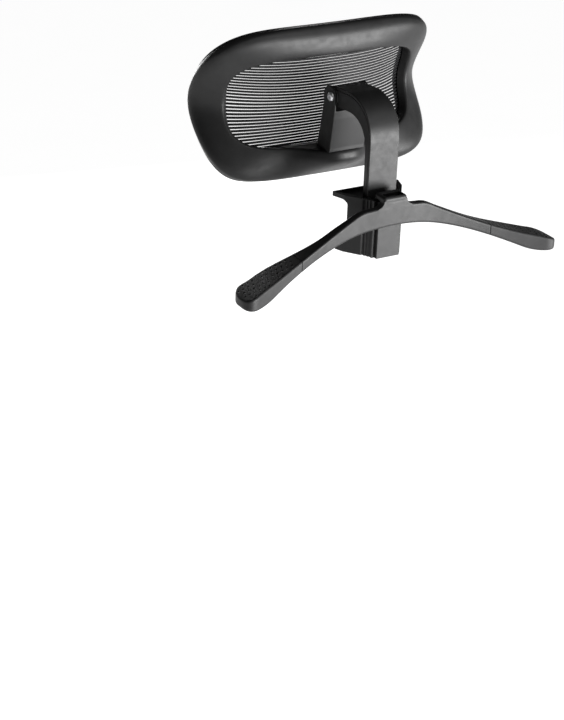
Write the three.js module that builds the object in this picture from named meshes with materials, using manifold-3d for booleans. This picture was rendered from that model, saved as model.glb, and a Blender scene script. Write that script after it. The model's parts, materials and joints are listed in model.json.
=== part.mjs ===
// Headrest attachment for an office chair: a mesh headrest that tilts on a gooseneck arm, a saddle
// on the chair back's top bar that the arm slides in, and a coat hanger hooked over the saddle.
//
// Millimetres. +X is the sitter's left, +Y is behind the chair and +Z is up along the arm's post.
// The origin is the middle of the seat face that rests on the chair back's top bar.
import * as THREE from "three";
import { mergeGeometries, mergeVertices } from "three/addons/utils/BufferGeometryUtils.js";
import Module from "manifold-3d";

const wasm = await Module();
wasm.setup();

const GAP = 0.3; // between neighbouring pieces
const ROUND = 24; // sides of a round hole or pin

// Saddle
const BAR_HEIGHT = 42;
const BAR_REAR = 9;
const BAR_CORNER = 7;
const SADDLE_TOP = 6;
const SADDLE_BOTTOM = -65.5;
const LIP_FRONT = -12;
const FOOT_FRONT = -5;
const RIM = 2.6;
const RECESS_FLOOR = 2.6;
const SPINE_HALF = 16;
const SPINE_REAR = 43.5;
const HOUSING_REAR = 38.5;
const HOUSING_CORNER = [27, 24.8]; // where the side walls end
const HOUSING_HALF = [
  [46, LIP_FRONT],
  [40, 6],
  HOUSING_CORNER,
  [24, 25.4],
  [24, 29],
  [22, 29.4],
  [22, 33],
  [20, 33.4],
  [20, HOUSING_REAR],
];
const BAR_SCREW_X = 31;
const BAR_SCREW_Y = 4;

// Arm
const ARM_HALF = 20;
const POST_FRONT = 13;
const POST_REAR = 23.5;
const ARM_BOTTOM = -32;
const SHELL = 3.6;
const CORE_HALF = 15;
const CORE_THICKNESS = 3;
const PIVOT = { y: -58, z: 105 };
const NOSE = 11.8;
const BARREL = 7.5;
const BOLT = 3;
const LINER = 1.5;

// Tilt bracket
const EAR_IN = 21.8;
const EAR_OUT = 24.4;
const BRACKET_PLATE = 2.6;

// Headrest
const HEADREST = {
  middleY: -93.1,
  middleZ: 87.2,
  halfWidth: 162.5,
  halfHeight: 92.9,
  outerPower: 3.53,
  innerPower: 4.25,
  sideBand: 35.1,
  topBand: 36.4,
  bottomBand: 39.9,
  wrap: 72.6, // how far the ends reach forward
  wrapPower: 2.68,
  topFlare: 71.4, // how far the corners turn back again
  bottomFlare: 83.4,
  topLip: 4.2, // a last turn to the rear near the ends
  bottomLip: 7.1,
  flareAcross: 2.72,
  flareUp: 1.22,
  flareRound: 0.03, // rounds the flare's start at half height
  bow: 2.5,
  lean: 0.23,
};
const FRAME_BULGE = 3.8;
const FRAME_FRONT = -12.7;
const SHELF = { rise: 33, spread: 40 }; // swelling of the bottom member that carries the bracket
const MESH_THICKNESS = 1.2;
const MESH_EDGE = 6; // how far the mesh runs past the window's edge
const CARRIER_THICKNESS = 3.6;

// Coat hanger
const HANGER_REAR = 54;
const HANGER_HALF = 216;
const CURVE_LENGTH = 200; // the hanger's curves are laid out over this length
const STRAIGHT_FROM = 175; // the top runs straight from here on
const LEVEL_FROM = 186; // and the underside turns level about here
const LEVEL_TURN = 14; // half the length of that turn
const CAP_START = 131;
const CAP_ROUND = 18;
const TONGUE_INSET = 3.5;
const HOOK_FRONT = 31.5;
const HOOK_TOP = 14.5;
const SLOT_FRONT = 40;
const SLOT_REAR = 51;
const SLOT_HALF = 12;

const materials = {
  shell: new THREE.MeshStandardMaterial({ color: 0x1d1e20, roughness: 0.5, metalness: 0 }),
  soft: new THREE.MeshStandardMaterial({ color: 0x151617, roughness: 0.8, metalness: 0 }),
  mesh: new THREE.MeshStandardMaterial({ color: 0x0d0d0e, roughness: 0.9, metalness: 0 }),
  steel: new THREE.MeshStandardMaterial({ color: 0x8f9296, roughness: 0.35, metalness: 1 }),
  bolt: new THREE.MeshStandardMaterial({ color: 0xc9ccd0, roughness: 0.2, metalness: 1 }),
  nylon: new THREE.MeshStandardMaterial({ color: 0xd8d8d2, roughness: 0.6, metalness: 0 }),
};

const object = new THREE.Group();

function add(name, geometry, material) {
  const mesh = new THREE.Mesh(geometry, materials[material]);
  mesh.name = name;
  object.add(mesh);
}

// ---- solids -------------------------------------------------------------------------------

function toSolid(geometry) {
  const plain = geometry.clone();
  for (const name of ["normal", "uv"]) plain.deleteAttribute(name);
  const merged = mergeVertices(plain, 1e-4);
  return new wasm.Manifold(
    new wasm.Mesh({
      numProp: 3,
      vertProperties: new Float32Array(merged.attributes.position.array),
      triVerts: new Uint32Array(merged.index.array),
    })
  );
}

function toGeometry(solid) {
  const { vertProperties, triVerts } = solid.getMesh();
  const geometry = new THREE.BufferGeometry();
  geometry.setAttribute("position", new THREE.BufferAttribute(vertProperties, 3));
  geometry.setIndex(new THREE.BufferAttribute(triVerts, 1));
  geometry.computeVertexNormals();
  return geometry;
}

function cut(geometry, ...tools) {
  return toGeometry(tools.reduce((solid, tool) => solid.subtract(toSolid(tool)), toSolid(geometry)));
}

function join(geometry, ...others) {
  return toGeometry(others.reduce((solid, other) => solid.add(toSolid(other)), toSolid(geometry)));
}

// A box between two corners.
function block([x0, x1], [y0, y1], [z0, z1]) {
  const box = new THREE.BoxGeometry(x1 - x0, y1 - y0, z1 - z0);
  return box.translate((x0 + x1) / 2, (y0 + y1) / 2, (z0 + z1) / 2);
}

function shapeOf(points) {
  return new THREE.Shape(points.map(([a, b]) => new THREE.Vector2(a, b)));
}

// An outline of [x, y] points, raised from z0 to z1.
function prismZ(points, z0, z1) {
  const prism = new THREE.ExtrudeGeometry(shapeOf(points), { depth: z1 - z0, bevelEnabled: false });
  return prism.translate(0, 0, z0);
}

// An outline of [y, z] points, drawn out from x0 to x1.
function prismX(points, x0, x1) {
  const prism = new THREE.ExtrudeGeometry(shapeOf(points), { depth: x1 - x0, bevelEnabled: false });
  const turn = new THREE.Matrix4().makeBasis(
    new THREE.Vector3(0, 1, 0),
    new THREE.Vector3(0, 0, 1),
    new THREE.Vector3(1, 0, 0)
  );
  return prism.applyMatrix4(turn).translate(x0, 0, 0);
}

function mirrored(half) {
  return [...half, ...half.map(([x, y]) => [-x, y]).reverse()];
}

// A body of revolution: its profile is [radius, height] points, and its axis starts at a place
// and points along a direction.
function turned(profile, place, direction, sides = ROUND) {
  const points = profile.map(([radius, height]) => new THREE.Vector2(radius, height));
  const body = new THREE.LatheGeometry(points, sides);
  const up = new THREE.Vector3(0, 1, 0);
  const turn = new THREE.Quaternion().setFromUnitVectors(up, new THREE.Vector3(...direction));
  return body.applyQuaternion(turn).translate(...place);
}

function rod(radius, length, place, direction, sides = ROUND) {
  return turned([[0, 0], [radius, 0], [radius, length], [0, length]], place, direction, sides);
}

function tube(inner, outer, length, place, direction, sides = ROUND) {
  const profile = [[inner, 0], [outer, 0], [outer, length], [inner, length], [inner, 0]];
  return turned(profile, place, direction, sides);
}

const SPINE_SCREW = { head: 2.6, headHeight: 1.5, shank: 1.2, length: 9 };
const BAR_SCREW = { head: 5.4, headHeight: 5, shank: 3, length: 30 };
const ARM_STOP_SCREW = { head: 2, headHeight: 1, shank: 0.9, length: 13 };
const BRACKET_SCREW = { head: 3.2, headHeight: 2, shank: 1.4, length: 21 };

// A screw whose head's outer face is at its place, with a conical driver recess. It points along
// its direction.
function screw({ head, headHeight, shank, length }, place, direction) {
  const profile = [
    [0, headHeight * 0.55],
    [head * 0.4, headHeight * 0.3],
    [head * 0.45, 0],
    [head * 0.8, 0],
    [head, headHeight * 0.35],
    [head, headHeight],
    [shank, headHeight],
    [shank, length],
    [0, length],
  ];
  return turned(profile, place, direction, 16);
}

// A closed skin through rings of points. Each ring goes round the same way, and the skin is
// closed at both ends, or on itself when the rings make a loop.
function loft(rings, looped = false) {
  const count = rings[0].length;
  const positions = rings.flat(2);
  const index = [];
  const last = looped ? rings.length : rings.length - 1;
  for (let i = 0; i < last; i++) {
    const a = i * count;
    const b = ((i + 1) % rings.length) * count;
    for (let j = 0; j < count; j++) {
      const k = (j + 1) % count;
      index.push(a + j, b + j, b + k, a + j, b + k, a + k);
    }
  }
  if (!looped) {
    const end = (rings.length - 1) * count;
    for (let j = 1; j < count - 1; j++) {
      index.push(0, j, j + 1);
      index.push(end, end + j + 1, end + j);
    }
  }
  const geometry = new THREE.BufferGeometry();
  geometry.setAttribute("position", new THREE.BufferAttribute(new Float32Array(positions), 3));
  geometry.setIndex(index);
  const outside = toSolid(geometry).volume() > 0;
  if (!outside) {
    for (let i = 0; i < index.length; i += 3) [index[i], index[i + 1]] = [index[i + 1], index[i]];
    geometry.setIndex(index);
  }
  geometry.computeVertexNormals();
  return geometry;
}

// ---- saddle -------------------------------------------------------------------------------

const SLOT_X = ARM_HALF + LINER + 2 * GAP;
const SLOT_Y = [POST_FRONT - 0.4, POST_REAR + 0.6];
const SPRING_POCKET = { half: 8, rear: 31.2, bottom: -48 };
const WALL_FRONT = 35.2; // inner face of the housing's rear wall, which the hanger hooks over

function barOutline() {
  const arc = [];
  for (let i = 0; i <= 5; i++) {
    const angle = (Math.PI / 2) * (1 - i / 5);
    const y = BAR_REAR - BAR_CORNER + BAR_CORNER * Math.cos(angle);
    const z = -BAR_CORNER + BAR_CORNER * Math.sin(angle);
    arc.push([y, z]);
  }
  return [[LIP_FRONT - 20, 0], ...arc, [BAR_REAR, -BAR_HEIGHT], [LIP_FRONT - 20, -BAR_HEIGHT]];
}

function saddleHousing() {
  const body = prismZ(mirrored(HOUSING_HALF), SADDLE_BOTTOM, SADDLE_TOP);
  const recess = mirrored([
    [HOUSING_HALF[0][0] - 1.6 * RIM, LIP_FRONT + RIM],
    [HOUSING_CORNER[0] - RIM, HOUSING_CORNER[1] - RIM],
    [17.5, HOUSING_CORNER[1] - RIM],
    [17.5, WALL_FRONT],
  ]);
  const tools = [
    prismX(barOutline(), -60, 60),
    block([-60, 60], [LIP_FRONT - 1, FOOT_FRONT], [SADDLE_BOTTOM - 1, -BAR_HEIGHT]),
    prismZ(recess, RECESS_FLOOR, SADDLE_TOP + 1),
    block([-SLOT_X, SLOT_X], SLOT_Y, [SADDLE_BOTTOM - 1, SADDLE_TOP + 1]),
    block(
      [-SPRING_POCKET.half, SPRING_POCKET.half],
      [POST_REAR, SPRING_POCKET.rear],
      [SPRING_POCKET.bottom, SADDLE_TOP + 1]
    ),
  ];
  for (const side of [-1, 1]) {
    const place = [side * BAR_SCREW_X, BAR_SCREW_Y, SADDLE_BOTTOM - 1];
    tools.push(rod(6.3, 11.5, place, [0, 0, 1]));
    tools.push(rod(3.4, 40, place, [0, 0, 1]));
    tools.push(rod(1.5, 8, [side * 10, HOUSING_REAR + 1, -12], [0, -1, 0], 12));
  }
  return cut(body, ...tools);
}

function spineCover() {
  const depth = [HOUSING_REAR + GAP, SPINE_REAR];
  const body = block([-SPINE_HALF, SPINE_HALF], depth, [SADDLE_BOTTOM, 5.5]);
  const hollow = block([-14, 14], [HOUSING_REAR, SPINE_REAR - 2], [SADDLE_BOTTOM + 2, 3]);
  const shell = cut(body, hollow);
  const bosses = [];
  const holes = [];
  for (const side of [-1, 1]) {
    bosses.push(rod(3.6, 4.5, [side * 10, HOUSING_REAR + GAP, -12], [0, 1, 0]));
    holes.push(rod(2.9, 2.2, [side * 10, SPINE_REAR - 1.9, -12], [0, 1, 0]));
    holes.push(rod(1.7, 8, [side * 10, HOUSING_REAR, -12], [0, 1, 0], 12));
  }
  const tongue = block([-7, 7], [40.6, 42.9], [4, 11]);
  return cut(join(shell, tongue, ...bosses), ...holes);
}

function addSaddle() {
  add("saddle_housing", saddleHousing(), "shell");
  add("spine_cover", spineCover(), "shell");
  for (const [name, side] of [["left", 1], ["right", -1]]) {
    const inner = side * (ARM_HALF + GAP);
    const outer = side * (ARM_HALF + GAP + LINER);
    const span = [Math.min(inner, outer), Math.max(inner, outer)];
    add(`guide_liner_${name}`, block(span, [POST_FRONT, POST_REAR], [-20, 2]), "nylon");
    const spinePlace = [side * 10, SPINE_REAR - 0.1, -12];
    const barPlace = [side * BAR_SCREW_X, BAR_SCREW_Y, -60.3];
    add(`spine_screw_${name}`, screw(SPINE_SCREW, spinePlace, [0, -1, 0]), "steel");
    add(`bar_screw_${name}`, screw(BAR_SCREW, barPlace, [0, 0, 1]), "steel");
  }
  add("height_spring", heightSpring(), "steel");
}

// A bowed leaf whose middle presses on the arm's rear face.
function heightSpring() {
  const steps = 8;
  const [bottom, top] = [-44, -6];
  const touch = POST_REAR + GAP;
  const bow = (t) => touch + 6 * (2 * t - 1) ** 2;
  const near = [];
  const far = [];
  for (let i = 0; i <= steps; i++) {
    const z = bottom + ((top - bottom) * i) / steps;
    near.push([bow(i / steps), z]);
    far.unshift([bow(i / steps) + 0.8, z]);
  }
  return prismX([...near, ...far], -6, 6);
}

// ---- arm ----------------------------------------------------------------------------------

// The arm's rear and front edges seen from its side: a straight post, a bend and a short neck.
const BEND_STEPS = 12;

function rail(postY, bendZ, c1, c2, neckStart, neckEnd) {
  const bend = new THREE.CubicBezierCurve(
    new THREE.Vector2(postY, bendZ),
    new THREE.Vector2(...c1),
    new THREE.Vector2(...c2),
    new THREE.Vector2(...neckStart)
  );
  return [
    new THREE.Vector2(postY, ARM_BOTTOM),
    ...bend.getPoints(BEND_STEPS),
    new THREE.Vector2(...neckEnd),
  ];
}

const REAR_RAIL = rail(POST_REAR, 66, [24.5, 100], [6, 115], [-24, 118.5], [PIVOT.y, PIVOT.z + NOSE]);
const FRONT_RAIL = rail(POST_FRONT, 57, [13, 80], [0, 93.5], [-23, 95], [PIVOT.y, PIVOT.z - NOSE]);

// Points that lie a distance in from the rear rail, towards the front rail.
function between(distance) {
  return REAR_RAIL.map((rear, i) => {
    const across = FRONT_RAIL[i].clone().sub(rear).normalize();
    const point = rear.clone().addScaledVector(across, distance);
    return [point.x, point.y];
  });
}

function noseArc(radius, from, to, steps = 10) {
  const arc = [];
  for (let i = 0; i <= steps; i++) {
    const angle = from + ((to - from) * i) / steps;
    arc.push([PIVOT.y + radius * Math.cos(angle), PIVOT.z + radius * Math.sin(angle)]);
  }
  return arc;
}

function pivotRod(radius, half) {
  return rod(radius, 2 * half, [-half, PIVOT.y, PIVOT.z], [1, 0, 0]);
}

// The three screws that clamp the shells on the core: a place on the arm's front face, the way
// in, the depth of the head and the length.
const ARM_SCREWS = [
  { place: [0, POST_FRONT, -20], way: [0, 1, 0], depth: 0.3, length: 8.4 },
  { place: [0, POST_FRONT, 40], way: [0, 1, 0], depth: 0.3, length: 8.4 },
  { place: [0, -36, 94.3], way: [0, 0, 1], depth: 11, length: 10 },
];

function armScrewRoom(radius, headRadius) {
  return ARM_SCREWS.flatMap(({ place, way, depth, length }) => {
    const back = place.map((value, i) => value - way[i]);
    return [
      rod(headRadius, depth + 3.3, back, way, 16),
      rod(radius, depth + length + 1.4, back, way, 16),
    ];
  });
}

function armCore() {
  const outline = [...between(SHELL + GAP), ...between(SHELL + GAP + CORE_THICKNESS).reverse()];
  const strap = prismX(outline, -CORE_HALF, CORE_HALF);
  const barrel = pivotRod(BARREL, CORE_HALF);
  const eye = pivotRod(5, CORE_HALF + 1);
  return cut(join(strap, barrel), eye, ...armScrewRoom(2, 2));
}

function armFrontShell() {
  const outline = [
    ...between(SHELL + GAP),
    ...noseArc(NOSE, Math.PI * 0.62, Math.PI * 1.5),
    ...FRONT_RAIL.slice(0, -1).map((p) => [p.x, p.y]).reverse(),
  ];
  const body = prismX(outline, -ARM_HALF, ARM_HALF);
  const half = CORE_HALF + GAP;
  const grooveOutline = [
    ...between(SHELL - 1),
    ...between(SHELL + 2 * GAP + CORE_THICKNESS).reverse(),
  ];
  return cut(
    body,
    prismX(grooveOutline, -half, half),
    pivotRod(BARREL + GAP, half),
    pivotRod(BOLT + GAP, ARM_HALF + 1),
    ...armScrewRoom(1.8, 3.3)
  );
}

function armRearShell() {
  const outline = [...REAR_RAIL.map((p) => [p.x, p.y]), ...between(SHELL).reverse()];
  return cut(prismX(outline, -ARM_HALF, ARM_HALF), ...armScrewRoom(1.8, 1.8));
}

// The foot's ears meet the lower ends of the liners, which stops the arm from being pulled out.
function armStop() {
  const bottom = ARM_BOTTOM - 4.3;
  const ears = ARM_HALF + 1.6;
  const body = join(
    block([-ARM_HALF, ARM_HALF], [POST_FRONT, POST_REAR], [bottom, ARM_BOTTOM - GAP]),
    block([-ears, ears], [POST_FRONT + 1, POST_REAR - 1], [bottom, ARM_BOTTOM - 1.5])
  );
  const place = [0, POST_FRONT + 2.6, ARM_BOTTOM - 5];
  return cut(body, rod(1.8, 10, place, [0, 0, 1], 16), rod(2.3, 2, place, [0, 0, 1], 16));
}

function addArm() {
  const stopScrewPlace = [0, POST_FRONT + 2.6, ARM_BOTTOM - 4.2];
  add("arm_rear_shell", armRearShell(), "shell");
  const stopScrewRoom = rod(1.2, 14, stopScrewPlace, [0, 0, 1], 16);
  add("arm_front_shell", cut(armFrontShell(), stopScrewRoom), "shell");
  add("arm_core", armCore(), "steel");
  add("arm_stop", armStop(), "nylon");
  add("arm_stop_screw", screw(ARM_STOP_SCREW, stopScrewPlace, [0, 0, 1]), "steel");
  ARM_SCREWS.forEach(({ place, way, depth, length }, i) => {
    const head = place.map((value, axis) => value + way[axis] * depth);
    const shape = { head: 3, headHeight: 1.8, shank: 1.5, length };
    add(`arm_screw_${i + 1}`, screw(shape, head, way), "steel");
  });
  const bushStart = [-CORE_HALF, PIVOT.y, PIVOT.z];
  add("hinge_bush", tube(BOLT + 0.2, 4.7, 2 * CORE_HALF, bushStart, [1, 0, 0]), "nylon");
}

// ---- headrest -----------------------------------------------------------------------------

// The headrest is a curved sheet: its ends wrap forward, and its upper and lower corners flare
// to the rear. A place on it is given across (x) and up (v) the sheet, and off it to the rear.
function sheetDepth(x, v) {
  const h = HEADREST;
  const across = Math.abs(x) / h.halfWidth;
  const up = v / h.halfHeight;
  const upper = smooth(up, -0.4, 0.4);
  const flare = h.bottomFlare + (h.topFlare - h.bottomFlare) * upper;
  const lip = h.bottomLip + (h.topLip - h.bottomLip) * upper;
  const turn = flare * across ** h.flareAcross + lip * across ** 5 + h.bow;
  const ease = (square) => (square + h.flareRound) ** (h.flareUp / 2) - h.flareRound ** (h.flareUp / 2);
  return h.middleY - h.wrap * across ** h.wrapPower + (turn * ease(up * up)) / ease(1) + h.lean * up;
}

function sheetPoint(x, v, off) {
  const step = 0.5;
  const slopeX = (sheetDepth(x + step, v) - sheetDepth(x - step, v)) / (2 * step);
  const slopeV = (sheetDepth(x, v + step) - sheetDepth(x, v - step)) / (2 * step);
  const size = Math.hypot(slopeX, 1, slopeV);
  return [
    x - (off * slopeX) / size,
    sheetDepth(x, v) + off / size,
    HEADREST.middleZ + v - (off * slopeV) / size,
  ];
}

function smooth(x, from, to) {
  const t = Math.min(Math.max((x - from) / (to - from), 0), 1);
  return t * t * (3 - 2 * t);
}

// A point of a rounded rectangle, in the direction of an angle.
function roundedLoop(halfWidth, halfHeight, power, angle) {
  const c = Math.cos(angle);
  const s = Math.sin(angle);
  const reach = (Math.abs(c) ** power + Math.abs(s) ** power) ** (-1 / power);
  return [halfWidth * c * reach, halfHeight * s * reach];
}

const LOOP_STEPS = 64;
const WINDOW = {
  halfWidth: HEADREST.halfWidth - HEADREST.sideBand,
  halfHeight: HEADREST.halfHeight - (HEADREST.topBand + HEADREST.bottomBand) / 2,
  shift: (HEADREST.bottomBand - HEADREST.topBand) / 2,
};

// A ring of the headrest: its section is [share, off, swell] points, where a share of 0 is the
// window's edge, 1 is the outer edge, off is the distance to the rear of the sheet, and swell is
// the share of the shelf's rise that is added at the bottom middle.
function headrestRing(section) {
  const h = HEADREST;
  const rings = [];
  for (let i = 0; i < LOOP_STEPS; i++) {
    const angle = (2 * Math.PI * i) / LOOP_STEPS;
    const outer = roundedLoop(h.halfWidth, h.halfHeight, h.outerPower, angle);
    const inner = roundedLoop(WINDOW.halfWidth, WINDOW.halfHeight, h.innerPower, angle);
    inner[1] += WINDOW.shift;
    const lower = Math.sin(angle) < 0;
    const rise = lower ? SHELF.rise * Math.exp(-(Math.abs(inner[0] / SHELF.spread) ** 3)) : 0;
    rings.push(
      section.map(([share, off, swell = 0]) =>
        sheetPoint(
          inner[0] + (outer[0] - inner[0]) * share,
          inner[1] + (outer[1] - inner[1]) * share,
          off + swell * rise
        )
      )
    );
  }
  return loft(rings, true);
}

const REBATE = { share: 0.24, depth: 3.3 }; // step in the frame's front that takes the mesh's edge
const MESH_FRONT = FRAME_FRONT + 0.7;
const FRAME_SECTION = [
  [0, FRAME_FRONT + REBATE.depth],
  [0, FRAME_BULGE - 4.8, 1],
  [0.03, FRAME_BULGE - 2.2, 1],
  [0.12, FRAME_BULGE - 0.6, 1],
  [0.35, FRAME_BULGE, 0.95],
  [0.66, FRAME_BULGE - 1, 0.5],
  [0.86, FRAME_BULGE - 4, 0.2],
  [0.98, FRAME_BULGE - 9.5],
  [0.98, FRAME_FRONT],
  [0.75, FRAME_FRONT],
  [0.5, FRAME_FRONT],
  [REBATE.share, FRAME_FRONT],
  [REBATE.share, FRAME_FRONT + REBATE.depth],
];
const CARRIER_BACK = FRAME_FRONT - 2 * GAP;

function headrestFrame() {
  return cut(headrestRing(FRAME_SECTION), ...bracketScrewRoom());
}

function meshCarrier() {
  const front = CARRIER_BACK - CARRIER_THICKNESS;
  return headrestRing([
    [0.02, front + 1],
    [0.02, CARRIER_BACK],
    [REBATE.share, CARRIER_BACK],
    [0.5, CARRIER_BACK],
    [0.75, CARRIER_BACK],
    [0.97, CARRIER_BACK],
    [0.97, front + 1.5],
    [0.85, front],
    [0.5, front],
    [0.1, front],
  ]);
}

// The mesh closes the window and is clamped between the frame and the carrier.
function meshPanel() {
  const halfWidth = WINDOW.halfWidth + MESH_EDGE;
  const halfHeight = WINDOW.halfHeight + MESH_EDGE;
  const power = HEADREST.innerPower;
  const columns = 24;
  const rows = 10;
  const rings = [];
  for (let i = 0; i <= columns; i++) {
    const x = halfWidth * Math.sin((Math.PI / 2) * (-1 + (2 * i) / columns) * 0.985);
    const reach = halfHeight * (1 - Math.abs(x / halfWidth) ** power) ** (1 / power);
    const heights = [];
    for (let j = 0; j <= rows; j++) heights.push(WINDOW.shift + reach * (-1 + (2 * j) / rows));
    const back = heights.map((v) => sheetPoint(x, v, MESH_FRONT + MESH_THICKNESS));
    const front = heights.map((v) => sheetPoint(x, v, MESH_FRONT)).reverse();
    rings.push([...back, ...front]);
  }
  return loft(rings);
}

// ---- tilt bracket -------------------------------------------------------------------------

const FOOT_Z = 35.2;
const BACK_EDGE = [[-57.2, FOOT_Z], [-56.9, 40], [-53.9, 62], [-51.6, 78], [-50.6, 88]];
// Closes the back plate under the neck, and clears the neck when the headrest is tilted
const BACK_LIP = [[-53.9, 89.3], [-56.5, 90.6], [-60, 92.2], [-60.4, 89.8], [-54.6, 86.6]];
const FRONT_EDGE = [[-85.8, FOOT_Z], [-85.6, 40], [-80, 64], [-77.3, 80], [-74.5, 94]];
const FOOT_SCREW_X = 14;
const FOOT_SCREW_Y = -71;
const FOOT_BOSS_TOP = FOOT_Z + 11;
const FOOT_SCREW_HEAD = 21;

function bracketScrewRoom() {
  return [-1, 1].flatMap((side) => [
    rod(1.8, 60, [side * FOOT_SCREW_X, FOOT_SCREW_Y, -10], [0, 0, 1], 12),
    rod(3.6, FOOT_SCREW_HEAD + 12.3, [side * FOOT_SCREW_X, FOOT_SCREW_Y, -10], [0, 0, 1], 16),
  ]);
}

function tiltBracket() {
  const crown = [];
  for (let i = 0; i <= 10; i++) {
    const angle = Math.PI * (1.02 - (0.98 * i) / 10);
    crown.push([-62.5 + 12.5 * Math.cos(angle), 104.5 + 12.3 * Math.sin(angle)]);
  }
  const side = [...FRONT_EDGE, ...crown, ...[...BACK_EDGE].reverse()];
  const inside = BACK_EDGE.slice(0, -1).map(([y, z]) => [y - BRACKET_PLATE, z]);
  const back = [...BACK_EDGE, ...BACK_LIP, ...inside.reverse()];
  const tops = [-1, 1].map((sign) =>
    rod(4, FOOT_BOSS_TOP - FOOT_Z, [sign * FOOT_SCREW_X, FOOT_SCREW_Y, FOOT_Z], [0, 0, 1], 16)
  );
  const body = join(
    prismX(side, EAR_IN, EAR_OUT),
    prismX(side, -EAR_OUT, -EAR_IN),
    prismX(back, -EAR_OUT, EAR_OUT),
    block([-EAR_OUT, EAR_OUT], [-85.7, -57.3], [FOOT_Z, FOOT_Z + BRACKET_PLATE]),
    ...tops
  );
  const holes = [-1, 1].map((sign) =>
    rod(1.7, 10, [sign * FOOT_SCREW_X, FOOT_SCREW_Y, FOOT_Z - 1], [0, 0, 1], 12)
  );
  return cut(body, pivotRod(BOLT + 0.2, EAR_OUT + 1), ...holes);
}

function hingeBolt() {
  const length = 2 * EAR_OUT + 11;
  return turned(
    [
      [0, 1.4],
      [1.9, 1],
      [2.3, 0],
      [4.8, 0],
      [5.7, 1],
      [5.7, 3],
      [BOLT, 3],
      [BOLT, length],
      [0, length],
    ],
    [EAR_OUT + GAP + 3, PIVOT.y, PIVOT.z],
    [-1, 0, 0]
  );
}

function addHeadrest() {
  add("headrest_frame", headrestFrame(), "shell");
  add("mesh_panel", meshPanel(), "mesh");
  add("mesh_carrier", meshCarrier(), "soft");
  add("tilt_bracket", tiltBracket(), "shell");
  add("hinge_bolt", hingeBolt(), "bolt");
  const washerStart = [-EAR_OUT - GAP, PIVOT.y, PIVOT.z];
  add("spring_washer", tube(BOLT + 0.3, 5.4, 1.2, washerStart, [-1, 0, 0]), "steel");
  const nut = rod(5.5, 5, [-EAR_OUT - 1.8, PIVOT.y, PIVOT.z], [-1, 0, 0], 6);
  add("lock_nut", cut(nut, pivotRod(BOLT + 0.15, EAR_OUT + 10)), "steel");
  for (const [name, sign] of [["left", 1], ["right", -1]]) {
    const washer = tube(BOLT + 0.3, 9.5, 1.2, [sign * (ARM_HALF + GAP), PIVOT.y, PIVOT.z], [sign, 0, 0]);
    add(`friction_washer_${name}`, washer, "nylon");
    const place = [sign * FOOT_SCREW_X, FOOT_SCREW_Y, FOOT_SCREW_HEAD];
    add(`bracket_screw_${name}`, screw(BRACKET_SCREW, place, [0, 0, 1]), "steel");
  }
}

// ---- coat hanger --------------------------------------------------------------------------

// A distance that grows up to a limit and then stays there, with a soft turn between.
function held(x, limit, turn) {
  const past = Math.min(Math.max(x - limit + turn, 0), 2 * turn);
  return Math.min(x, limit + turn) - past ** 2 / (4 * turn);
}

// The hanger's arm at a distance from the middle: its rear edge, its depth and its two edges up.
function hangerAt(x) {
  const far = x / CURVE_LENGTH;
  const run = Math.min(x, STRAIGHT_FROM);
  const drop = held(x, LEVEL_FROM, LEVEL_TURN) / CURVE_LENGTH;
  const fall = 0.5 * run - 18.5 - 19.7 * (run / CURVE_LENGTH) ** 3 + 0.24 * (x - run);
  const bend = smooth(x, 30, 60);
  return {
    rear: HANGER_REAR - 3 * smooth(x, 10, 60) + 39 * far ** 2.2,
    depth: 10 + 4 * smooth(x, 40, 90) + 25 * smooth(x, 85, 185) + 5 * smooth(x, 185, 215),
    top: 3 - 4 * (x / 45) ** 2 * (1 - bend) - bend * fall,
    bottom: -22 - 91 * drop ** 2 + 30.2 * drop ** 3,
  };
}

const TONGUE_STATIONS = [CAP_START - 5, 136, 146, 156, 166, 176];
const HANGER_STATIONS = [0, 12, 24, 36, 48, 60, 74, 88, 102, 116, CAP_START];
const CAP_STATIONS = [CAP_START + 0.8, 144, 157, 170, 184, 198, 204, 209, 212.5, 214.8, 215.8];

// An eight-sided section with its corners cut, shrunk by an inset all round.
function hangerSection(x, side, inset = 0, shrink = 1) {
  const { rear, depth, top, bottom } = hangerAt(x);
  const middleY = rear - depth / 2;
  const middleZ = (top + bottom) / 2;
  const halfY = (depth / 2 - inset) * shrink;
  const halfZ = ((top - bottom) / 2 - inset) * (0.55 + 0.45 * shrink);
  const corner = Math.min(2.2, halfY * 0.5);
  const points = [
    [halfY - corner, halfZ],
    [halfY, halfZ - corner],
    [halfY, corner - halfZ],
    [halfY - corner, -halfZ],
    [corner - halfY, -halfZ],
    [-halfY, corner - halfZ],
    [-halfY, halfZ - corner],
    [corner - halfY, halfZ],
  ];
  return points.map(([y, z]) => [side * x, middleY + y, middleZ + z]);
}

// The cap's end is round seen from above.
function endShrink(x) {
  const along = Math.max(x - (HANGER_HALF - CAP_ROUND), 0) / CAP_ROUND;
  return Math.sqrt(Math.max(1 - along ** 2, 0));
}

function hangerArm(side) {
  const arm = loft(HANGER_STATIONS.map((x) => hangerSection(x, side)));
  const tongue = loft(TONGUE_STATIONS.map((x) => hangerSection(x, side, TONGUE_INSET)));
  return join(arm, tongue);
}

function hangerBody() {
  const span = [-SPINE_HALF, SPINE_HALF];
  const hook = block(span, [HOOK_FRONT, HANGER_REAR], [SADDLE_TOP + GAP, HOOK_TOP]);
  const lip = block(span, [HOOK_FRONT, WALL_FRONT - 0.4], [RECESS_FLOOR + GAP, SADDLE_TOP + 1]);
  const web = block(span, [SPINE_REAR + 0.5, HANGER_REAR], [-5, SADDLE_TOP + 1]);
  const slot = block([-SLOT_HALF, SLOT_HALF], [SLOT_FRONT, SLOT_REAR], [SADDLE_TOP - 2, HOOK_TOP + 1]);
  return cut(join(hangerArm(1), hangerArm(-1), hook, lip, web), slot);
}

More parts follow.
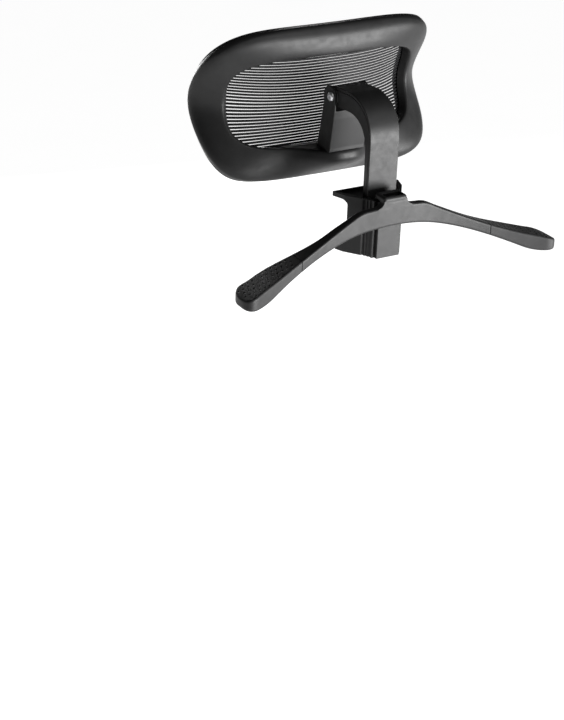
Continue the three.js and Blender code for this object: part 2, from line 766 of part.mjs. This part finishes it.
function hangerCap(side) {
  const cap = loft(CAP_STATIONS.map((x) => hangerSection(x, side, 0, endShrink(x))));
  const socket = loft([...TONGUE_STATIONS, 177].map((x) => hangerSection(x, side, TONGUE_INSET - GAP)));
  return cut(cap, socket);
}

function addHanger() {
  add("hanger_body", hangerBody(), "shell");
  add("hanger_cap_left", hangerCap(1), "soft");
  add("hanger_cap_right", hangerCap(-1), "soft");
}

addSaddle();
addArm();
addHeadrest();
addHanger();

export default object;
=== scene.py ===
"""Looks of a chair headrest attachment: a mesh headrest on a gooseneck arm, a saddle and a coat hanger.

Lengths of the part are in millimetres and the studio's are in metres. +X is the sitter's left, +Y is
behind the chair and +Z is up, as in the CAD frame.
"""

import json
import math

import bmesh
import bpy
from mathutils import Matrix, Vector


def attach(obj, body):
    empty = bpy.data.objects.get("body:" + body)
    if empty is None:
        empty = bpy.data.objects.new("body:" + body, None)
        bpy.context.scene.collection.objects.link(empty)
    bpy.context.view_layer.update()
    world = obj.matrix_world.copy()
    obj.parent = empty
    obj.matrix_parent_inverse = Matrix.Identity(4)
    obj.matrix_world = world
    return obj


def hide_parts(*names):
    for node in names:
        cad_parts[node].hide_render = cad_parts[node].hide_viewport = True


MM = 0.001

# Headrest: the same shape as the CAD frame, drawn finer
MIDDLE_Y, MIDDLE_Z = -93.1, 87.2
HALF_WIDTH, HALF_HEIGHT = 162.5, 92.9
OUTER_POWER, INNER_POWER = 3.53, 4.25
SIDE_BAND, TOP_BAND, BOTTOM_BAND = 35.1, 36.4, 39.9
WRAP, WRAP_POWER = 72.6, 2.68
TOP_FLARE, BOTTOM_FLARE = 71.4, 83.4
TOP_LIP, BOTTOM_LIP = 4.2, 7.1
FLARE_ACROSS, FLARE_UP, FLARE_ROUND = 2.72, 1.22, 0.03
BOW, LEAN = 2.5, 0.23
BULGE, FRAME_FRONT = 3.8, -12.7
SHELF_RISE, SHELF_SPREAD = 33.0, 40.0
WINDOW_HALF_WIDTH = HALF_WIDTH - SIDE_BAND
WINDOW_HALF_HEIGHT = HALF_HEIGHT - (TOP_BAND + BOTTOM_BAND) / 2
WINDOW_SHIFT = (BOTTOM_BAND - TOP_BAND) / 2
REBATE_SHARE, REBATE_DEPTH = 0.24, 3.3
CARRIER_BACK, CARRIER_THICKNESS = FRAME_FRONT - 0.6, 3.6
LOOP_STEPS = 220

# Mesh of the headrest
RIB_PITCH, RIB_HEIGHT, RIB_DEPTH = 3.5, 2.95, 1.4
RIB_OFF = FRAME_FRONT + 1.3
THREAD_STEP, THREAD_RADIUS = 2.2, 0.13
MESH_EDGE = 5.0

# Arm
ARM_HALF = 20.0
POST_FRONT, POST_REAR, ARM_BOTTOM = 13.0, 23.5, -32.0
SHELL, PARTING = 3.6, 0.3
PIVOT_Y, PIVOT_Z, NOSE = -58.0, 105.0, 11.8
EAR_OUT = 24.4

# Coat hanger
HANGER_REAR, CURVE_LENGTH, HANGER_HALF = 54.0, 200.0, 216.0
CAP_START, CAP_ROUND = 131.0, 18.0
STRAIGHT_FROM, LEVEL_FROM, LEVEL_TURN = 175.0, 186.0, 14.0
SPINE_HALF = 16.0
HOOK_FRONT, HOOK_TOP = 31.5, 14.5
SLOT_HALF, SLOT_FRONT, SLOT_REAR = 12.0, 40.0, 51.0
SPINE_REAR, WALL_FRONT = 43.5, 35.2
DIMPLE_PITCH, DIMPLE_ROW = 6.2, 7.8
DIMPLE_RADIUS, DIMPLE_DEPTH = 1.2, 1.6

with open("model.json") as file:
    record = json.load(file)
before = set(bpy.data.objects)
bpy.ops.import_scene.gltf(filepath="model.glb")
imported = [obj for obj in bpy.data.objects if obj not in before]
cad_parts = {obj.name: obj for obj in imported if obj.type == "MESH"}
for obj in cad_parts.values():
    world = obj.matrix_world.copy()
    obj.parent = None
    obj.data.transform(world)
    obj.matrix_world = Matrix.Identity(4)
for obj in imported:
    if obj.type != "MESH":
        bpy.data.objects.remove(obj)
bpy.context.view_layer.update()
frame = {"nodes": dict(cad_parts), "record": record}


# ---- materials ----------------------------------------------------------------------------


def new_material(name):
    material = bpy.data.materials.new(name)
    material.use_nodes = True
    nodes = material.node_tree.nodes
    return material, nodes, material.node_tree.links, nodes["Principled BSDF"]


def noise(nodes, links, scale, detail=4.0, stretch=(1, 1, 1)):
    """Noise laid out over the object's own space, with a scale in cycles per metre."""
    place = nodes.new("ShaderNodeTexCoord")
    mapping = nodes.new("ShaderNodeMapping")
    mapping.inputs["Scale"].default_value = stretch
    texture = nodes.new("ShaderNodeTexNoise")
    texture.inputs["Scale"].default_value = scale
    texture.inputs["Detail"].default_value = detail
    links.new(place.outputs["Object"], mapping.inputs["Vector"])
    links.new(mapping.outputs["Vector"], texture.inputs["Vector"])
    return texture.outputs["Fac"]


def spread(nodes, links, source, low, high):
    span = nodes.new("ShaderNodeMapRange")
    span.inputs["From Min"].default_value = 0.3
    span.inputs["From Max"].default_value = 0.7
    span.inputs["To Min"].default_value = low
    span.inputs["To Max"].default_value = high
    links.new(source, span.inputs["Value"])
    return span.outputs["Result"]


def tint(nodes, links, source, dark, light):
    ramp = nodes.new("ShaderNodeValToRGB")
    ramp.color_ramp.elements[0].position = 0.3
    ramp.color_ramp.elements[1].position = 0.7
    ramp.color_ramp.elements[0].color = (*dark, 1)
    ramp.color_ramp.elements[1].color = (*light, 1)
    links.new(source, ramp.inputs["Fac"])
    return ramp.outputs["Color"]


def bump(nodes, links, height, strength, distance_m):
    node = nodes.new("ShaderNodeBump")
    node.inputs["Strength"].default_value = strength
    node.inputs["Distance"].default_value = distance_m
    links.new(height, node.inputs["Height"])
    return node.outputs["Normal"]


def plastic(name, grey, roughness, grain=0.25, grain_scale=2600.0, specular=0.4):
    """Moulded plastic: slight cloudiness in its colour and gloss, and a fine moulded grain."""
    material, nodes, links, shader = new_material(name)
    shader.inputs["Specular IOR Level"].default_value = specular
    cloud = noise(nodes, links, 55.0)
    dark = tuple(grey * k for k in (0.86, 0.86, 0.87))
    light = tuple(grey * k for k in (1.12, 1.12, 1.13))
    links.new(tint(nodes, links, cloud, dark, light), shader.inputs["Base Color"])
    gloss = noise(nodes, links, 140.0, 6.0)
    rough = spread(nodes, links, gloss, roughness - 0.05, roughness + 0.05)
    links.new(rough, shader.inputs["Roughness"])
    skin = bump(nodes, links, noise(nodes, links, grain_scale, 2.0), grain, 0.00006)
    links.new(skin, shader.inputs["Normal"])
    return material


def elastomer(name):
    """Black elastomer strands with a fine lengthwise streak."""
    material, nodes, links, shader = new_material(name)
    shader.inputs["Specular IOR Level"].default_value = 0.25
    streak = noise(nodes, links, 900.0, 3.0, (0.08, 1, 1))
    colour = tint(nodes, links, streak, (0.004, 0.004, 0.0045), (0.012, 0.012, 0.013))
    links.new(colour, shader.inputs["Base Color"])
    links.new(spread(nodes, links, streak, 0.5, 0.7), shader.inputs["Roughness"])
    links.new(bump(nodes, links, streak, 0.3, 0.00008), shader.inputs["Normal"])
    return material


def metal(name, grey, roughness, brush=(1, 1, 1)):
    """Bare or plated metal with fine tool marks and a faint uneven gloss."""
    material, nodes, links, shader = new_material(name)
    shader.inputs["Metallic"].default_value = 1.0
    marks = noise(nodes, links, 1800.0, 3.0, brush)
    cloud = noise(nodes, links, 160.0)
    dark = (grey * 0.85, grey * 0.85, grey * 0.87)
    light = (grey * 1.08, grey * 1.08, grey * 1.1)
    links.new(tint(nodes, links, cloud, dark, light), shader.inputs["Base Color"])
    links.new(spread(nodes, links, marks, roughness - 0.06, roughness + 0.08), shader.inputs["Roughness"])
    links.new(bump(nodes, links, marks, 0.15, 0.00004), shader.inputs["Normal"])
    return material


MATERIALS = {
    "moulded_shell": plastic("MouldedPlastic", 0.019, 0.42, specular=0.22),
    "carrier_plastic": plastic("CarrierPlastic", 0.02, 0.55, 0.35),
    "hanger_cap_plastic": plastic("CapPlastic", 0.024, 0.48, 0.35, specular=0.22),
    "mesh_fabric": elastomer("MeshElastomer"),
    "slide_plastic": plastic("SlidePlastic", 0.05, 0.35, 0.1),
    "screw_steel": metal("ScrewSteel", 0.4, 0.35),
    "spring_steel": metal("SpringSteel", 0.3, 0.3, (1, 1, 0.1)),
    "core_steel": metal("CoreSteel", 0.32, 0.45, (0.1, 1, 1)),
    "bolt_chrome": metal("BoltChrome", 0.85, 0.34),
}


# ---- building pieces ----------------------------------------------------------------------


def linked(name, mesh):
    obj = bpy.data.objects.new(name, mesh)
    bpy.context.scene.collection.objects.link(obj)
    return obj


def solid(name, points, faces):
    """A new object from points in millimetres, with its faces turned outwards."""
    mesh = bpy.data.meshes.new(name)
    mesh.from_pydata([Vector(p) * MM for p in points], [], faces)
    work = bmesh.new()
    work.from_mesh(mesh)
    bmesh.ops.remove_doubles(work, verts=work.verts, dist=1e-6)
    bmesh.ops.recalc_face_normals(work, faces=work.faces)
    work.to_mesh(mesh)
    work.free()
    return linked(name, mesh)


def settle(obj):
    """Makes the object's modifiers part of its mesh."""
    graph = bpy.context.evaluated_depsgraph_get()
    mesh = bpy.data.meshes.new_from_object(obj.evaluated_get(graph))
    obj.modifiers.clear()
    obj.data = mesh
    return obj


def remove(obj):
    bpy.data.objects.remove(obj, do_unlink=True)


def shade_smooth(obj, angle=None):
    for polygon in obj.data.polygons:
        polygon.use_smooth = True
    if angle:
        obj.data.set_sharp_from_angle(angle=math.radians(angle))


def softened(obj, voxel, passes, shrink=0.5):
    """Rounds a solid's edges as moulding does, by remeshing it finely and smoothing it."""
    remesh = obj.modifiers.new("Remesh", "REMESH")
    remesh.mode = "VOXEL"
    remesh.voxel_size = voxel * MM
    smooth = obj.modifiers.new("Smooth", "SMOOTH")
    smooth.factor = shrink
    smooth.iterations = passes
    settle(obj)
    shade_smooth(obj)
    return obj


def bevelled(obj, width, segments=3, angle=40):
    bevel = obj.modifiers.new("Bevel", "BEVEL")
    bevel.width = width * MM
    bevel.segments = segments
    bevel.limit_method = "ANGLE"
    bevel.angle_limit = math.radians(angle)
    bevel.harden_normals = True
    shade_smooth(obj)
    settle(obj)
    return obj


def copy_of(node, name):
    return linked(name, frame["nodes"][node].data.copy())


def cut(obj, *tools):
    for tool in tools:
        boolean = obj.modifiers.new("Cut", "BOOLEAN")
        boolean.operation = "DIFFERENCE"
        boolean.solver = "EXACT"
        boolean.object = tool
    settle(obj)
    for tool in tools:
        remove(tool)
    return obj


def finished(obj, body, slot, *nodes):
    """Gives a piece its body and its slot's material, and hides the CAD nodes it stands for."""
    obj.data.materials.clear()
    obj.data.materials.append(MATERIALS[slot])
    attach(obj, body)
    if nodes:
        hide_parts(*nodes)
    return obj


def loft(name, rings, looped=False):
    count = len(rings[0])
    points = [p for ring in rings for p in ring]
    faces = []
    for i in range(len(rings) if looped else len(rings) - 1):
        a = i * count
        b = (i + 1) % len(rings) * count
        for j in range(count):
            k = (j + 1) % count
            faces.append((a + j, b + j, b + k, a + k))
    if not looped:
        faces.append(tuple(range(count)))
        faces.append(tuple(range(len(points) - count, len(points))))
    return solid(name, points, faces)


def prism_x(name, outline, half):
    """An outline of (y, z) points, drawn out to both sides."""
    rings = [[(x, y, z) for y, z in outline] for x in (-half, half)]
    return loft(name, rings)


def block(name, low, high):
    corners = [(low[0], low[1]), (high[0], low[1]), (high[0], high[1]), (low[0], high[1])]
    return loft(name, [[(x, y, z) for x, y in corners] for z in (low[2], high[2])])


def lathe(name, profile, place, sides=64):
    """A turned body about an axis along x: its profile is (radius, distance towards -x) points."""
    rings = []
    for i in range(sides):
        angle = 2 * math.pi * i / sides
        ring = [
            (place[0] - along, place[1] + r * math.cos(angle), place[2] + r * math.sin(angle))
            for r, along in profile
        ]
        rings.append(ring)
    return loft(name, rings, True)


def smooth_step(x, start, end):
    t = min(max((x - start) / (end - start), 0), 1)
    return t * t * (3 - 2 * t)


def spline(points, steps):
    """A smooth line through points."""
    line = []
    for i in range(len(points) - 1):
        before = points[max(i - 1, 0)]
        after = points[min(i + 2, len(points) - 1)]
        a, b = points[i], points[i + 1]
        for s in range(steps):
            t = s / steps
            line.append(
                tuple(
                    0.5
                    * (
                        2 * p1
                        + (p2 - p0) * t
                        + (2 * p0 - 5 * p1 + 4 * p2 - p3) * t * t
                        + (3 * p1 - p0 - 3 * p2 + p3) * t**3
                    )
                    for p0, p1, p2, p3 in zip(before, a, b, after)
                )
            )
    line.append(points[-1])
    return line


# ---- headrest -----------------------------------------------------------------------------


def ease(square):
    return (square + FLARE_ROUND) ** (FLARE_UP / 2) - FLARE_ROUND ** (FLARE_UP / 2)


def sheet_depth(x, v):
    across = abs(x) / HALF_WIDTH
    up = v / HALF_HEIGHT
    upper = smooth_step(up, -0.4, 0.4)
    flare = BOTTOM_FLARE + (TOP_FLARE - BOTTOM_FLARE) * upper
    lip = BOTTOM_LIP + (TOP_LIP - BOTTOM_LIP) * upper
    turn = flare * across**FLARE_ACROSS + lip * across**5 + BOW
    return MIDDLE_Y - WRAP * across**WRAP_POWER + turn * ease(up * up) / ease(1) + LEAN * up


def sheet_point(x, v, off):
    """A place across and up the headrest's curved sheet, and off it to the rear."""
    slope_x = sheet_depth(x + 0.25, v) - sheet_depth(x - 0.25, v)
    slope_v = sheet_depth(x, v + 0.25) - sheet_depth(x, v - 0.25)
    slope_x, slope_v = 2 * slope_x, 2 * slope_v
    size = math.sqrt(slope_x**2 + 1 + slope_v**2)
    return (x - off * slope_x / size, sheet_depth(x, v) + off / size, MIDDLE_Z + v - off * slope_v / size)


def rounded(half_width, half_height, power, angle):
    c, s = math.cos(angle), math.sin(angle)
    reach = (abs(c) ** power + abs(s) ** power) ** (-1 / power)
    return half_width * c * reach, half_height * s * reach


def headrest_ring(name, section):
    """A ring whose section is (share, off, swell) points from the window to the outer edge."""
    rings = []
    for i in range(LOOP_STEPS):
        angle = 2 * math.pi * i / LOOP_STEPS
        ox, ov = rounded(HALF_WIDTH, HALF_HEIGHT, OUTER_POWER, angle)
        ix, iv = rounded(WINDOW_HALF_WIDTH, WINDOW_HALF_HEIGHT, INNER_POWER, angle)
        iv += WINDOW_SHIFT
        rise = SHELF_RISE * math.exp(-(abs(ix / SHELF_SPREAD) ** 3)) if math.sin(angle) < 0 else 0
        rings.append(
            [
                sheet_point(ix + (ox - ix) * share, iv + (ov - iv) * share, off + swell * rise)
                for share, off, swell in section
            ]
        )
    return loft(name, rings, True)


def frame_section():
    """The frame's section: a domed rear, a straight inner wall and a flat front with a rebate."""
    dome = spline(
        [
            (0.0, BULGE - 6.0),
            (0.005, BULGE - 4.2),
            (0.035, BULGE - 1.9),
            (0.12, BULGE - 0.6),
            (0.35, BULGE),
            (0.66, BULGE - 1.0),
            (0.86, BULGE - 3.8),
            (0.965, BULGE - 7.8),
            (0.985, BULGE - 11.0),
        ],
        4,
    )
    section = []
    for share, off in dome:
        swell = 1 - smooth_step(share, 0.25, 1.05) if share < 0.95 else 0
        section.append((share, off, swell))
    front = FRAME_FRONT
    flat = [(0.985, front + 0.8), (0.97, front), (0.7, front), (0.45, front), (REBATE_SHARE, front)]
    rebate = [(REBATE_SHARE, front + REBATE_DEPTH), (0.0, front + REBATE_DEPTH)]
    return section + [(share, off, 0) for share, off in flat + rebate]


def make_frame():
    obj = headrest_ring("HeadrestFrame", frame_section())
    shade_smooth(obj, 50)
    finished(obj, "headrest", "moulded_shell", "headrest_frame")


def make_carrier():
    back, front = CARRIER_BACK, CARRIER_BACK - CARRIER_THICKNESS
    rear = [(0.02, back - 0.5), (0.035, back), (0.4, back)]
    rear += [(0.7, back), (0.955, back), (0.97, back - 0.5)]
    outer = [(0.97, front + 1.5), (0.9, front + 0.2), (0.7, front)]
    inner = [(0.3, front), (0.08, front + 0.3), (0.02, front + 1.4)]
    face = spline(outer + inner, 4)
    obj = headrest_ring("MeshCarrier", [(share, off, 0) for share, off in rear + face])
    shade_smooth(obj, 50)
    finished(obj, "headrest", "carrier_plastic", "mesh_carrier")


def window_reach(v):
    """Half the width of the mesh at a height."""
    share = min(abs(v - WINDOW_SHIFT) / (WINDOW_HALF_HEIGHT + MESH_EDGE), 0.999)
    return (WINDOW_HALF_WIDTH + MESH_EDGE) * (1 - share**INNER_POWER) ** (1 / INNER_POWER)


def strand(points, ups, half_height, half_depth, corners=6):
    """The rings of a strand whose section is a flat round, along points with (normal, up) frames."""
    rings = []
    for point, (normal, up) in zip(points, ups):
        ring = []
        for k in range(corners):
            angle = 2 * math.pi * (k + 0.5) / corners
            offset = normal * (half_depth * math.cos(angle)) + up * (half_height * math.sin(angle))
            ring.append(point + offset)
        rings.append(ring)
    return rings


def add_strand(points, faces, rings):
    count = len(rings[0])
    start = len(points)
    points.extend(p for ring in rings for p in ring)
    for i in range(len(rings) - 1):
        a = start + i * count
        b = a + count
        for j in range(count):
            k = (j + 1) % count
            faces.append((a + j, a + k, b + k, b + j))
    faces.append(tuple(start + j for j in reversed(range(count))))
    faces.append(tuple(len(points) - count + j for j in range(count)))


def sheet_frame(x, v):
    here = Vector(sheet_point(x, v, RIB_OFF))
    normal = (Vector(sheet_point(x, v, RIB_OFF + 1)) - here).normalized()
    up = (Vector(sheet_point(x, v + 0.5, RIB_OFF)) - Vector(sheet_point(x, v - 0.5, RIB_OFF))).normalized()
    return here, (normal, up)


def rib_heights():
    count = int((WINDOW_HALF_HEIGHT + MESH_EDGE - 2) / RIB_PITCH)
    return [WINDOW_SHIFT + RIB_PITCH * i for i in range(-count, count + 1)]


def make_mesh():
    """The stretched mesh: flat ribs across the window with fine threads zigzagging between them."""
    points, faces = [], []
    for v in rib_heights():
        reach = window_reach(v)
        steps = max(int(reach / 3), 8)
        places = [sheet_frame(-reach + 2 * reach * i / steps, v) for i in range(steps + 1)]
        rings = strand([p for p, _ in places], [f for _, f in places], RIB_HEIGHT / 2, RIB_DEPTH / 2)
        add_strand(points, faces, rings)
    for v in rib_heights()[:-1]:
        reach = min(window_reach(v), window_reach(v + RIB_PITCH)) - 1
        steps = int(2 * reach / THREAD_STEP)
        places = []
        for i in range(steps + 1):
            height = v + (0.25 if i % 2 else RIB_PITCH - 0.25)
            places.append(sheet_frame(-reach + 2 * reach * i / steps, height))
        rings = strand([p for p, _ in places], [f for _, f in places], THREAD_RADIUS, THREAD_RADIUS, 3)
        add_strand(points, faces, rings)
    mesh = bpy.data.meshes.new("HeadrestMesh")
    mesh.from_pydata([p * MM for p in points], [], faces)
    obj = linked("HeadrestMesh", mesh)
    shade_smooth(obj)
    finished(obj, "headrest", "mesh_fabric", "mesh_panel")
    width, height = 2 * (WINDOW_HALF_WIDTH + MESH_EDGE) * 1.07, 2 * (WINDOW_HALF_HEIGHT + MESH_EDGE)


# ---- tilt bracket and hinge ---------------------------------------------------------------


def make_bracket():
    obj = copy_of("tilt_bracket", "TiltBracket")
    softened(obj, 0.45, 3)
    finished(obj, "headrest", "moulded_shell", "tilt_bracket")


def make_bolt():
    """A pan head with a six-sided socket, on a plain shank."""
    face = EAR_OUT + 3.3
    length = 2 * EAR_OUT + 11
    head = [(0, 0.15), (3.2, 0.1), (4.4, 0.25), (5.2, 0.9), (5.7, 1.8), (5.7, 3.0)]
    shank = [(3, 3), (3, length - 0.6), (2.5, length), (0, length)]
    obj = lathe("HingeBolt", head + shank, (face, PIVOT_Y, PIVOT_Z))
    socket = lathe("Socket", [(0, -1), (2.2, -1), (2.2, 1.7), (0, 2.3)], (face, PIVOT_Y, PIVOT_Z), 6)
    cut(obj, socket)
    shade_smooth(obj, 35)
    finished(obj, "headrest", "bolt_chrome", "hinge_bolt")


# ---- arm ----------------------------------------------------------------------------------


def rail(post_y, bend_z, c1, c2, neck_start, neck_end, steps=48):
    """An edge of the arm seen from its side: a straight post, a bend and a short neck."""
    bend = []
    for i in range(steps + 1):
        t = i / steps
        weights = ((1 - t) ** 3, 3 * t * (1 - t) ** 2, 3 * t * t * (1 - t), t**3)
        corners = ((post_y, bend_z), c1, c2, neck_start)
        bend.append(tuple(sum(w * c[k] for w, c in zip(weights, corners)) for k in (0, 1)))
    return [(post_y, ARM_BOTTOM), *bend, neck_end]


REAR_RAIL = rail(POST_REAR, 66, (24.5, 100), (6, 115), (-24, 118.5), (PIVOT_Y, PIVOT_Z + NOSE))
FRONT_RAIL = rail(POST_FRONT, 57, (13, 80), (0, 93.5), (-23, 95), (PIVOT_Y, PIVOT_Z - NOSE))


def between(distance):
    """The line that runs a distance in from the arm's rear edge."""
    line = []
    for rear, front in zip(REAR_RAIL, FRONT_RAIL):
        across = Vector(front) - Vector(rear)
        line.append(tuple(Vector(rear) + across.normalized() * distance))
    return line


def nose_arc(start, end, steps=24):
    arc = []
    for i in range(steps + 1):
        angle = start + (end - start) * i / steps
        arc.append((PIVOT_Y + NOSE * math.cos(angle), PIVOT_Z + NOSE * math.sin(angle)))
    return arc


def make_arm():
    rear = prism_x("ArmRearShell", REAR_RAIL + between(SHELL)[::-1], ARM_HALF)
    bevelled(rear, 0.9)
    finished(rear, "arm", "moulded_shell", "arm_rear_shell")
    outline = between(SHELL + PARTING) + nose_arc(math.pi * 0.62, math.pi * 1.5) + FRONT_RAIL[:-1][::-1]
    front = prism_x("ArmFrontShell", outline, ARM_HALF)
    bevelled(front, 0.7)
    finished(front, "arm", "moulded_shell", "arm_front_shell")


# ---- saddle -------------------------------------------------------------------------------


def make_saddle():
    housing = softened(copy_of("saddle_housing", "SaddleHousing"), 0.45, 4)
    finished(housing, "saddle", "moulded_shell", "saddle_housing")
    cover = softened(copy_of("spine_cover", "SpineCover"), 0.4, 3)
    finished(cover, "saddle", "moulded_shell", "spine_cover")


# ---- coat hanger --------------------------------------------------------------------------


def held(x, limit, turn):
    """A distance that grows up to a limit and then stays there, with a soft turn between."""
    past = min(max(x - limit + turn, 0), 2 * turn)
    return min(x, limit + turn) - past**2 / (4 * turn)


def hanger_at(x):
    """The hanger's rear edge, depth, top and bottom at a distance from its middle."""
    far = x / CURVE_LENGTH
    run = min(x, STRAIGHT_FROM)
    drop = held(x, LEVEL_FROM, LEVEL_TURN) / CURVE_LENGTH
    fall = 0.5 * run - 18.5 - 19.7 * (run / CURVE_LENGTH) ** 3 + 0.24 * (x - run)
    bend = smooth_step(x, 30, 60)
    rear = HANGER_REAR - 3 * smooth_step(x, 10, 60) + 39 * far**2.2
    depth = 10 + 4 * smooth_step(x, 40, 90) + 25 * smooth_step(x, 85, 185) + 5 * smooth_step(x, 185, 215)
    top = 3 - 4 * (x / 45) ** 2 * (1 - bend) - bend * fall
    bottom = -22 - 91 * drop**2 + 30.2 * drop**3
    return rear, depth, top, bottom


def rounded_section(half_y, half_z, radius, arc=5):
    """A rectangle with round corners, about its middle."""
    radius = min(radius, half_y * 0.98, half_z * 0.98)
    section = []
    for quarter, (sy, sz) in enumerate(((1, 1), (-1, 1), (-1, -1), (1, -1))):
        for i in range(arc + 1):
            angle = math.pi / 2 * (quarter + i / arc)
            y = sy * (half_y - radius) + radius * math.cos(angle)
            z = sz * (half_z - radius) + radius * math.sin(angle)
            section.append((y, z))
    return section


def hanger_ring(x, radius, inset=0.0, shrink=1.0):
    rear, depth, top, bottom = hanger_at(abs(x))
    middle_y, middle_z = rear - depth / 2, (top + bottom) / 2
    half_y = (depth / 2 - inset) * shrink
    half_z = ((top - bottom) / 2 - inset) * (0.55 + 0.45 * shrink)
    return [(x, middle_y + y, middle_z + z) for y, z in rounded_section(half_y, half_z, radius)]


def make_hanger_body():
    """Two arms in one sweep, with the hook over the saddle and its slot."""
    steps = 120
    sweep = [hanger_ring(-CAP_START + 2 * CAP_START * i / steps, 2.2) for i in range(steps + 1)]
    arms = loft("HangerBody", sweep)
    hook = block("Hook", (-SPINE_HALF, HOOK_FRONT, 6.3), (SPINE_HALF, HANGER_REAR, HOOK_TOP))
    bevelled(hook, 3.4, 6)
    flank = [(16, 10), (16.6, 7.2), (18.2, 4.6), (20.6, 2.9), (24, 1.8), (24, -2)]
    outline = flank + [(-x, z) for x, z in reversed(flank)]
    fillet = loft("Fillet", [[(x, y, z) for x, z in outline] for y in (SPINE_REAR + 0.6, HANGER_REAR - 0.1)])
    lip = block("Lip", (-SPINE_HALF, HOOK_FRONT, 2.9), (SPINE_HALF, WALL_FRONT - 0.4, 8))
    web = block("Web", (-SPINE_HALF, SPINE_REAR + 0.5, -5), (SPINE_HALF, HANGER_REAR, 7))
    slot = block("Slot", (-SLOT_HALF, SLOT_FRONT, 4), (SLOT_HALF, SLOT_REAR, HOOK_TOP + 1))
    for part in (hook, lip, web, fillet):
        union = arms.modifiers.new("Join", "BOOLEAN")
        union.operation = "UNION"
        union.solver = "EXACT"
        union.object = part
    settle(arms)
    for part in (hook, lip, web, fillet):
        remove(part)
    cut(arms, slot)
    softened(arms, 0.55, 7)
    finished(arms, "saddle", "moulded_shell", "hanger_body")


def dimple(x, y):
    """How deep the cap's grip dimples are at a place, in staggered rows."""
    row = round(y / DIMPLE_ROW)
    shift = DIMPLE_PITCH / 2 if row % 2 else 0
    column = round((x - shift) / DIMPLE_PITCH)
    away = math.hypot(x - shift - column * DIMPLE_PITCH, y - row * DIMPLE_ROW)
    return DIMPLE_DEPTH * (1 - smooth_step(away, 0.5, DIMPLE_RADIUS))


def make_cap(name, side, node):
    start = CAP_START + 0.35
    stations = [start + (HANGER_HALF - start) * (1 - (1 - i / 160) ** 1.6) * 0.9995 for i in range(161)]
    rings = []
    for x in stations:
        along = max(x - (HANGER_HALF - CAP_ROUND), 0) / CAP_ROUND
        rings.append(hanger_ring(side * x, 2.6, 0, max(1 - along**2.5, 0.0003) ** 0.4))
    obj = loft(name, rings)
    softened(obj, 0.5, 3)
    press_dimples(obj)
    finished(obj, "saddle", "hanger_cap_plastic", node)


def press_dimples(obj):
    """Presses the staggered dimples into the cap's upward face, away from its edges and ends."""
    for vertex in obj.data.vertices:
        x, y, z = (value / MM for value in vertex.co)
        rear, depth, _, _ = hanger_at(abs(x))
        inner = min(rear - y, y - (rear - depth))
        if vertex.normal.z < 0.8 or inner < 2.8 or not CAP_START + 6 < abs(x) < HANGER_HALF - 5:
            continue
        vertex.co.z -= dimple(x, y) * MM
    obj.data.update()


def make_hanger():
    make_hanger_body()
    make_cap("HangerCapLeft", 1, "hanger_cap_left")
    make_cap("HangerCapRight", -1, "hanger_cap_right")


def dress_cad_nodes():
    """Every CAD node that still shows gets its slot's material."""
    slots = {s["node"]: s["material_slot"] for s in frame["record"]["subparts"]}
    for name, obj in frame["nodes"].items():
        obj.data.materials.clear()
        obj.data.materials.append(MATERIALS[slots[name]])


# ---- studio -------------------------------------------------------------------------------

FLOOR_Z = -0.7


def make_camera():
    place = Vector((1.09288, 1.63967, 0.74089))
    ahead = Vector((-0.46025, -0.77097, -0.44019)).normalized()
    level = ahead.cross(Vector((0, 0, 1))).normalized()
    upright = level.cross(ahead)
    roll = math.radians(2.01)
    right = level * math.cos(roll) + upright * math.sin(roll)
    up = upright * math.cos(roll) - level * math.sin(roll)
    data = bpy.data.cameras.new("Camera")
    data.lens = 88.5
    data.sensor_width = 36
    camera = linked("Camera", data)
    camera.matrix_world = Matrix.Translation(place) @ Matrix((right, up, -ahead)).transposed().to_4x4()
    bpy.context.scene.camera = camera


def area_light(name, place, target, size, power, spread_angle=180):
    data = bpy.data.lights.new(name, "AREA")
    data.shape = "RECTANGLE"
    data.size, data.size_y = size
    data.energy = power
    data.spread = math.radians(spread_angle)
    light = linked(name, data)
    light.location = place
    light.rotation_euler = (Vector(target) - Vector(place)).to_track_quat("-Z", "Y").to_euler()


def make_floor():
    half = 12.0
    mesh = bpy.data.meshes.new("Floor")
    corners = [(-half, -half), (half, -half), (half, half), (-half, half)]
    mesh.from_pydata([(x, y, FLOOR_Z) for x, y in corners], [], [(0, 1, 2, 3)])
    floor = linked("Floor", mesh)
    material, nodes, links, shader = new_material("PaleFloor")
    shader.inputs["Specular IOR Level"].default_value = 0.1
    shader.inputs["Emission Color"].default_value = (1, 1, 1, 1)
    shader.inputs["Emission Strength"].default_value = 0.95
    paper = noise(nodes, links, 8.0)
    links.new(tint(nodes, links, paper, (0.3, 0.3, 0.3), (0.34, 0.34, 0.34)), shader.inputs["Base Color"])
    links.new(spread(nodes, links, paper, 0.8, 0.9), shader.inputs["Roughness"])
    mesh.materials.append(material)


def make_studio():
    make_floor()
    area_light("Key", (-1.0, 1.6, -0.28), (0, 0, 0), (1.4, 0.8), 88)
    area_light("Top", (-0.6, 1.2, 1.5), (0, 0, 0.05), (0.6, 0.6), 5)
    area_light("Front", (-0.4, -2.0, 0.0), (0, 0, 0.05), (1.2, 1.2), 30)
    world = bpy.data.worlds.new("World")
    world.use_nodes = True
    world.node_tree.nodes["Background"].inputs["Color"].default_value = (1, 1, 1, 1)
    world.node_tree.nodes["Background"].inputs["Strength"].default_value = 0.05
    bpy.context.scene.world = world
    bpy.context.scene.view_settings.view_transform = "Standard"


make_camera()
make_studio()
dress_cad_nodes()
make_frame()
make_carrier()
make_mesh()
make_bracket()
make_bolt()
make_arm()
make_saddle()
make_hanger()
